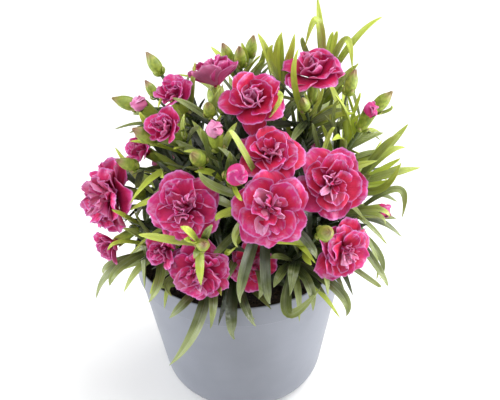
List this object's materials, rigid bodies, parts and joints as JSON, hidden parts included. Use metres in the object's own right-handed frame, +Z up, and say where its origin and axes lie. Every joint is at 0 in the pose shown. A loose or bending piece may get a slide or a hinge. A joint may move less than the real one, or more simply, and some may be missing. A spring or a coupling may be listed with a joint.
{
  "type": "dianthus plant in a pot",
  "caption": "Compact double pink dianthus in bloom and bud, with narrow grey-green leaves, growing in a round grey-blue plastic pot of peat.",
  "frame": {"origin": "centre of the pot's flat base", "axes": "+Z up along the pot's axis, -Y towards the side where most blooms face"},
  "size_m": [0.1795, 0.1619, 0.229],
  "materials": {
    "pot_plastic": "satin",
    "peat": "matt, crumbly peat",
    "leaf_green": "waxy leaf",
    "petal_pink": "soft petal"
  },
  "bodies": {
    "root": {"bloom_back_left": "petal_pink", "bloom_behind": "petal_pink", "bloom_behind_far_left": "petal_pink", "bloom_behind_far_right": "petal_pink", "bloom_behind_left": "petal_pink", "bloom_behind_right": "petal_pink", "bloom_centre_back": "petal_pink", "bloom_centre_front": "petal_pink", "bloom_front_left": "petal_pink", "bloom_left_low": "petal_pink", "bloom_left_side": "petal_pink", "bloom_low_centre": "petal_pink", "bloom_lower_left": "petal_pink", "bloom_lower_right": "petal_pink", "bloom_right_front": "petal_pink", "bloom_small_left": "petal_pink", "bloom_top_centre": "petal_pink", "bloom_top_left": "petal_pink", "bloom_top_right": "petal_pink", "bloom_under_left": "petal_pink", "bloom_upper_left": "petal_pink", "bud_tip_ball": "petal_pink", "bud_tip_crown": "petal_pink", "bud_tip_right": "petal_pink", "bud_tip_right_low": "petal_pink", "bud_tip_upper_left": "petal_pink", "pot": "pot_plastic", "shoot_back_left": "leaf_green", "shoot_behind": "leaf_green", "shoot_behind_left": "leaf_green", "shoot_behind_right": "leaf_green", "shoot_centre_back": "leaf_green", "shoot_centre_front": "leaf_green", "shoot_crown_bud": "leaf_green", "shoot_far_left": "leaf_green", "shoot_front_left": "leaf_green", "shoot_left_side": "leaf_green", "shoot_low_centre": "leaf_green", "shoot_lower_left": "leaf_green", "shoot_lower_right": "leaf_green", "shoot_right_buds": "leaf_green", "shoot_right_front": "leaf_green", "shoot_small_left": "leaf_green", "shoot_top_centre": "leaf_green", "shoot_top_left": "leaf_green", "shoot_top_right": "leaf_green", "shoot_tuft_back": "leaf_green", "shoot_tuft_back_right": "leaf_green", "shoot_tuft_crown": "leaf_green", "shoot_tuft_front": "leaf_green", "shoot_tuft_front_left": "leaf_green", "shoot_tuft_front_right": "leaf_green", "shoot_tuft_left": "leaf_green", "shoot_tuft_right": "leaf_green", "shoot_tuft_right_low": "leaf_green", "shoot_tuft_top": "leaf_green", "shoot_twin_buds": "leaf_green", "shoot_upper_left": "leaf_green", "soil": "peat"}
  },
  "joints": []
}
